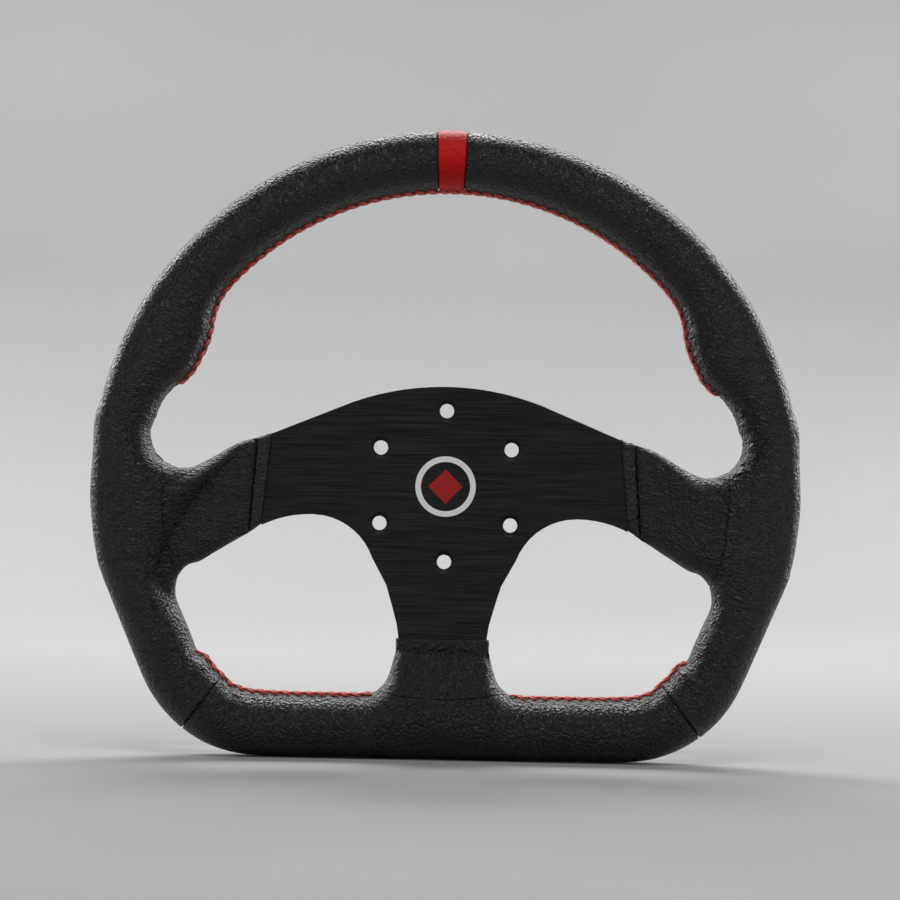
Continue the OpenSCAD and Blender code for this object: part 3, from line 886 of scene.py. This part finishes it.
# The stretches by the notches and roots, where the leather is creased
right_fine = (STITCH_END - 30, SEAM_END + 12)
left_fine = (padding.length - right_fine[1], padding.length - right_fine[0])
right_grip = cover("right_grip_cover", BAND_EDGE + EDGE_GAP, CORNER_SEAM - EDGE_GAP,
                   grip_low, opposite(grip_low), GRIP,
                   fine_zones=[right_fine])
left_grip = cover("left_grip_cover", padding.length - CORNER_SEAM + EDGE_GAP,
                  padding.length - BAND_EDGE - EDGE_GAP, grip_low, opposite(grip_low), GRIP,
                  fine_zones=[left_fine])
bottom_grip = cover("bottom_grip_cover", CORNER_SEAM + EDGE_GAP, padding.length - CORNER_SEAM - EDGE_GAP,
                    bottom_low, opposite(bottom_low), GRIP)
band = cover("centre_band_cover", padding.length - BAND_EDGE + EDGE_GAP,
             padding.length + BAND_EDGE - EDGE_GAP,
             lambda p: np.full_like(p, LACE_GAP), lambda p: np.full_like(p, 1 - LACE_GAP), BAND,
             step=0.6, gathers=0.25, edges=(1.5, 1.1), edge_depth=(1.2, 0.9))


# Narrowest strip still covered, and the gap at a root's seam, as shares of the way round a slice
LEAST_STRIP = 0.004
SEAM_GAP = 0.0006


def strip_range(turn, start, stop):
    """The part of a run along the rim where a strip across the inner edge has some width."""
    places = np.linspace(start, stop, 400)
    wide = places[turn(places) > LEAST_STRIP]
    return wide[0] + 0.2, wide[-1] - 0.2


def spoke_cover(name, turn, start, stop):
    """The leather of a spoke root, round the inner edge from its front seam to its back seam."""
    first_place, last_place = strip_range(turn, start, stop)
    return cover(name, first_place, last_place,
                 lambda p: -turn(p) + SEAM_GAP, lambda p: turn(p) - SEAM_GAP, SPOKE,
                 step=0.42, rows_step=0.62, nominal=100.0)


right_spoke = spoke_cover("right_spoke_cover", seam_turn, SEAM_START - 8, SEAM_END + 8)
left_spoke = spoke_cover("left_spoke_cover", seam_turn, padding.length - SEAM_END - 8,
                         padding.length - SEAM_START + 8)
foot_spoke = spoke_cover("bottom_spoke_cover", foot_turn, FOOT_SEAM - 8, padding.length - FOOT_SEAM + 8)

PANELS = (
    (right_grip, "grip_leather", "right_grip_leather"),
    (left_grip, "grip_leather", "left_grip_leather"),
    (bottom_grip, "grip_leather", "bottom_grip_leather"),
    (band, "band_leather", "centre_band"),
    (right_spoke, "spoke_leather", "right_spoke_leather"),
    (left_spoke, "spoke_leather", "left_spoke_leather"),
    (foot_spoke, "spoke_leather", "bottom_spoke_leather"),
)
for piece, slot_name, cad in PANELS:
    place_piece(piece, slot_name, cad)


# ---- Foam core

FOAM_STEP = 2.5
FOAM_SINK = 1.5
foam_places = np.arange(0, padding.length - 1, FOAM_STEP)
foam_slices = padding.slices(foam_places, sink=FOAM_SINK)[:, :-1:4]
foam_core = mesh_object("foam_core", foam_slices, grid_faces(*foam_slices.shape[:2], True, True), FOAM)
place_piece(foam_core, "foam", "grip_foam")


# ---- Collars: a thin leather turn round the plate where it enters each padded root

# A collar's clearance from the plate, the rounding of its corners and how much wider it stands
COLLAR_CLEAR = 0.02
COLLAR_ROUND = 2.4
COLLAR_SPREAD = 0.35
COLLAR_POINTS = 260


def collar(name, top, low, top_in, low_in, node_name, wrinkle, seed, thick=1.1, tucked=False):
    """top..low is the edge on the plate, top_in..low_in the edge at the padding, round unless tucked."""
    top, low, top_in, low_in = (np.array(p, float) for p in (top, low, top_in, low_in))
    across_steps = np.linspace(0, 1, 25)
    profile = [(s, thick * (1 - abs(min(2 * s - 1, 0.0 if tucked else 1.0)) ** 5) ** 0.5 + COLLAR_CLEAR)
               for s in across_steps]
    profile += [(s, COLLAR_CLEAR) for s in across_steps[-2:0:-4]]
    around = np.linspace(0, 1, COLLAR_POINTS, endpoint=False)
    grid = np.empty((len(around), len(profile), 3))
    for j, (s, h) in enumerate(profile):
        a, b = top + s * (top_in - top), low + s * (low_in - low)
        half_len = np.linalg.norm(b - a) / 2
        e = (b - a) / (2 * half_len)
        q = PLATE_T / 2 + h
        corner = min(q, COLLAR_ROUND)
        ring, normal = rounded_box(around, half_len + h * COLLAR_SPREAD, q, corner)
        if h > 0.1:
            w = noise(ring[:, 0] / 2.1 + 3 * s, s * 2.2 + 0 * ring[:, 0], seed, octaves=2)
            ring = ring + normal * (wrinkle * w * min(1, h))[:, None]
        mid = (a + b) / 2
        grid[:, j, 0] = mid[0] + e[0] * ring[:, 0]
        grid[:, j, 2] = mid[1] + e[1] * ring[:, 0]
        grid[:, j, 1] = MID_Y + ring[:, 1]
    piece = mesh_object(name, grid, grid_faces(len(around), len(profile), True, True), COLLAR)
    return place_piece(piece, "collar_leather", node_name)


def rounded_box(t, half_x, half_y, radius):
    """Points and outward normals round a rectangle with round corners, by share of its outline."""
    a, b = half_x - radius, half_y - radius
    sides = [2 * a, math.pi / 2 * radius, 2 * b, math.pi / 2 * radius] * 2
    marks = np.concatenate([[0], np.cumsum(sides)])
    points, normals = [], []
    centres = [(a, b), (a, -b), (-a, -b), (-a, b)]
    for d in t * marks[-1]:
        k = min(int(np.searchsorted(marks, d, side="right") - 1), 7)
        f = (d - marks[k]) / max(sides[k], 1e-6)
        quarter = k // 2
        cx, cy = centres[quarter]
        angle = math.radians(90 - 90 * quarter - (90 * f if k % 2 else 0))
        n = (math.cos(angle), math.sin(angle))
        if k % 2 == 0:
            back_x, back_y = centres[quarter - 1]
            cx, cy = back_x + (cx - back_x) * f, back_y + (cy - back_y) * f
        points.append((cx + radius * n[0], cy + radius * n[1]))
        normals.append(n)
    return np.array(points), np.array(normals)


COLLAR_TOP = np.array([collar_low.x, collar_high.z - 1.2])
COLLAR_LOW = np.array([collar_low.x + 4.3, collar_low.z + 4.4])
# How far the bottom collar reaches in under the foot's padding
FOOT_TUCK = 0.9

for sign, word, wrinkle, seed in ((1, "right", 0.55, 5), (-1, "left", 0.10, 9)):
    corners = [corner * np.array([sign, 1]) for corner in (COLLAR_TOP, COLLAR_LOW, MOUTH_TOP, MOUTH_LOW)]
    collar(f"{word}_collar_turn", *corners, f"{word}_collar", wrinkle, seed)
collar("bottom_collar_turn", (-FOOT_HALF, foot_high.z), (FOOT_HALF, foot_high.z),
       (-FOOT_HALF, FOOT_Z - FOOT_TUCK), (FOOT_HALF, FOOT_Z - FOOT_TUCK), "bottom_collar", 0.22, 13,
       thick=0.7, tucked=True)


# ---- Lacing along the inner edge

THREAD_R = 0.6
THREAD_SIDES = 8
# A strand runs a little past its two holes, and rises from under the leather to its own height
STRAND_SUNK = 0.45
STRAND_SHARES = np.linspace(-0.22, 1.22, 15)
STRAND_RISE = np.clip(np.sin(np.linspace(0, np.pi, len(STRAND_SHARES))) * 1.9, 0, 1)
# Each strand's way across the joint, and its height: one passes over the other
CROSSES = ((1, 0.42), (-1, 0.86))


def tube(path):
    """Points and faces of a round thread along a path, closed at both ends."""
    path = np.asarray(path)
    along = np.gradient(path, axis=0)
    along /= np.linalg.norm(along, axis=1, keepdims=True)
    a = np.cross(along, [0.0, 0.0, 1.0])
    weak = np.linalg.norm(a, axis=1) < 0.1
    a[weak] = np.cross(along[weak], [1.0, 0.0, 0.0])
    a /= np.linalg.norm(a, axis=1, keepdims=True)
    b = np.cross(along, a)
    turn = np.linspace(0, 2 * np.pi, THREAD_SIDES, endpoint=False)
    ring = a[:, None] * np.cos(turn)[None, :, None] + b[:, None] * np.sin(turn)[None, :, None]
    points = (path[:, None] + THREAD_R * ring).reshape(-1, 3)
    faces = grid_faces(len(path), THREAD_SIDES, False, True)
    faces += [list(range(THREAD_SIDES))[::-1], list(range(len(points) - THREAD_SIDES, len(points)))]
    return points, faces


def strand(start, stop, cross, lift):
    """The thread from one hole to the next, over the joint from one side to the other."""
    places = start + (stop - start) * STRAND_SHARES
    slices = padding.slices(places)
    turn = cross * STITCH_REACH * np.cos(np.pi * np.clip(STRAND_SHARES, 0, 1)) / slice_length(slices)
    here = sample(slices, turn[:, None])[:, 0]
    ahead = sample(slices, (turn + 0.004)[:, None])[:, 0]
    rows = padding.at(places)
    run = padding.at(places + 0.5) - padding.at(places - 0.5)
    no_depth = np.zeros(len(places))
    edge_way = np.stack([run[:, 2], no_depth, run[:, 3]], axis=1)
    inward = np.stack([rows[:, 2] - rows[:, 0], no_depth, rows[:, 3] - rows[:, 1]], axis=1)
    out = np.cross(ahead - here, edge_way)
    out /= np.linalg.norm(out, axis=1, keepdims=True)
    out *= np.sign(np.sum(out * inward, axis=1))[:, None]
    height = -STRAND_SUNK + (lift + STRAND_SUNK) * STRAND_RISE
    return tube(here + out * height[:, None])


def lacing(name, start, stop, cad):
    """Two threads that cross over the laced joint between each pair of holes."""
    run = np.linspace(start, stop, 2000)
    inner = inner_run(run)
    first_hole, last_hole = np.ceil(inner[0] / STITCH_PITCH), np.floor(inner[-1] / STITCH_PITCH)
    holes = np.arange(first_hole, last_hole + 1) * STITCH_PITCH
    places = np.interp(holes, inner, run)
    points, faces, made = [], [], 0
    for a, b in zip(places[:-1], places[1:]):
        for cross, lift in CROSSES:
            strand_points, strand_faces = strand(a, b, cross, lift)
            points.append(strand_points)
            faces += [[i + made for i in face] for face in strand_faces]
            made += len(strand_points)
    piece = mesh_object(name, np.concatenate(points), faces, THREAD)
    return place_piece(piece, "thread", cad)


lacing("upper_lacing", padding.length - STITCH_END, padding.length + STITCH_END, "upper_stitching")
lacing("lower_right_lacing", LOW_STITCH_START, LOW_STITCH_END, "lower_right_stitching")
lacing("lower_left_lacing", padding.length - LOW_STITCH_END, padding.length - LOW_STITCH_START,
       "lower_left_stitching")


# ---- Spoke plate: the CAD outline and bores, with the sharp edges broken by a small chamfer

EDGE_BREAK = 0.35 * MM


def broken_edges(node_name, name):
    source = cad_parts[node_name]
    mesh = source.data.copy()
    mesh.name = name
    work = bmesh.new()
    work.from_mesh(mesh)
    bmesh.ops.remove_doubles(work, verts=work.verts, dist=1e-6)
    bmesh.ops.dissolve_limit(work, angle_limit=math.radians(1), verts=work.verts, edges=work.edges)
    sharp = [e for e in work.edges if e.is_manifold and e.calc_face_angle(0) > math.radians(30)]
    bmesh.ops.bevel(work, geom=sharp, offset=EDGE_BREAK, segments=2, profile=0.6, affect="EDGES",
                    clamp_overlap=True)
    work.to_mesh(mesh)
    work.free()
    mesh.materials.clear()
    mesh.materials.append(PLATE)
    mesh.polygons.foreach_set("use_smooth", [False] * len(mesh.polygons))
    piece = bpy.data.objects.new(name, mesh)
    bpy.context.collection.objects.link(piece)
    return place_piece(piece, "anodised_plate", node_name)


broken_edges("spoke_plate", "brushed_plate")

for cad, material in (("rim_rod", STEEL), ("left_tab", STEEL), ("right_tab", STEEL),
                      ("bottom_tab", STEEL), ("left_rivets", RIVET), ("right_rivets", RIVET),
                      ("bottom_rivets", RIVET), ("mark_ring", WHITE), ("mark_centre", RED)):
    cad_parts[cad].data.materials.clear()
    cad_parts[cad].data.materials.append(material)


# ---- Studio, in metres: a pale floor that curves up on all sides, soft lights and the camera

FLAT_R, SWEEP_R = 0.9, 3.0


def studio_floor():
    """A wide round dish with the wheel standing on its flat middle."""
    profile = [(0.0, 0.0), (0.45, 0.0)]
    profile += [(FLAT_R + SWEEP_R * math.sin(a), SWEEP_R * (1 - math.cos(a)))
                for a in np.linspace(0, math.pi / 2, 40)]
    around = np.linspace(0, 2 * np.pi, 96, endpoint=False)
    grid = np.array([[(r * math.cos(t), r * math.sin(t), h) for t in around] for r, h in profile]) / MM
    grid[..., 2] += CAD_LOW.z / MM - 0.2
    material, tree, shader = new_material("studio_paper", Roughness=0.9)
    cloud = cloudy(tree, object_place(tree), 3.0, 2.0)
    paint(tree, shader, cloud, 0.2, 0.8, (0.35, 0.35, 0.35), (0.37, 0.37, 0.37))
    faces = grid_faces(len(profile), len(around), False, True)
    mesh_object("studio_floor", grid, faces, material)


def area_light(name, place, target, size, power):
    data = bpy.data.lights.new(name, "AREA")
    data.shape = "RECTANGLE"
    data.size, data.size_y = size
    data.energy = power
    lamp = bpy.data.objects.new(name, data)
    lamp.location = place
    lamp.rotation_euler = (Vector(target) - Vector(place)).to_track_quat("-Z", "Y").to_euler()
    lamp.visible_camera = False
    bpy.context.collection.objects.link(lamp)


studio_floor()
area_light("top_light", (0.0, 1.2, 1.25), (0, 0, 0.1), (1.6, 0.7), 30)
area_light("left_light", (-1.2, 1.5, 0.65), (0, 0, 0), (0.6, 0.9), 14)
area_light("right_light", (1.2, 1.5, 0.65), (0, 0, 0), (0.6, 0.9), 14)
area_light("backdrop_light", (0.0, 1.7, 1.3), (0, 4.0, 0.5), (3.6, 0.8), 40)
area_light("front_light", (0.1, -1.0, 1.8), (0, 0, 0), (0.9, 0.4), 13)
area_light("left_front_light", (-1.3, -0.8, 0.5), (0, 0, 0), (0.25, 0.5), 3)
area_light("right_front_light", (1.3, -0.8, 0.5), (0, 0, 0), (0.25, 0.5), 3)

world = bpy.data.worlds.new("studio_world")
world.use_nodes = True
world.node_tree.nodes["Background"].inputs["Color"].default_value = (0.9, 0.92, 0.95, 1)
world.node_tree.nodes["Background"].inputs["Strength"].default_value = 0.14
bpy.context.scene.world = world

SENSOR = 36.0
LENS = 150.0
# What the view takes in at the wheel, where its middle lies, and how far it is rolled
VIEW_WIDTH = 417.4 * MM
VIEW_X, VIEW_Z = 1.72 * MM, 16.97 * MM
ROLL = math.radians(1.165)
camera_data = bpy.data.cameras.new("front_camera")
camera_data.sensor_width = SENSOR
camera_data.lens = LENS
camera = bpy.data.objects.new("front_camera", camera_data)
distance = VIEW_WIDTH * LENS / SENSOR
camera.matrix_world = (Matrix.Translation((VIEW_X, MID_Y * MM - distance, VIEW_Z))
                       @ Matrix.Rotation(math.radians(90), 4, "X") @ Matrix.Rotation(ROLL, 4, "Z"))
camera_data.clip_start, camera_data.clip_end = 0.1, 30
bpy.context.collection.objects.link(camera)
bpy.context.scene.camera = camera
bpy.context.scene.view_settings.view_transform = "Standard"
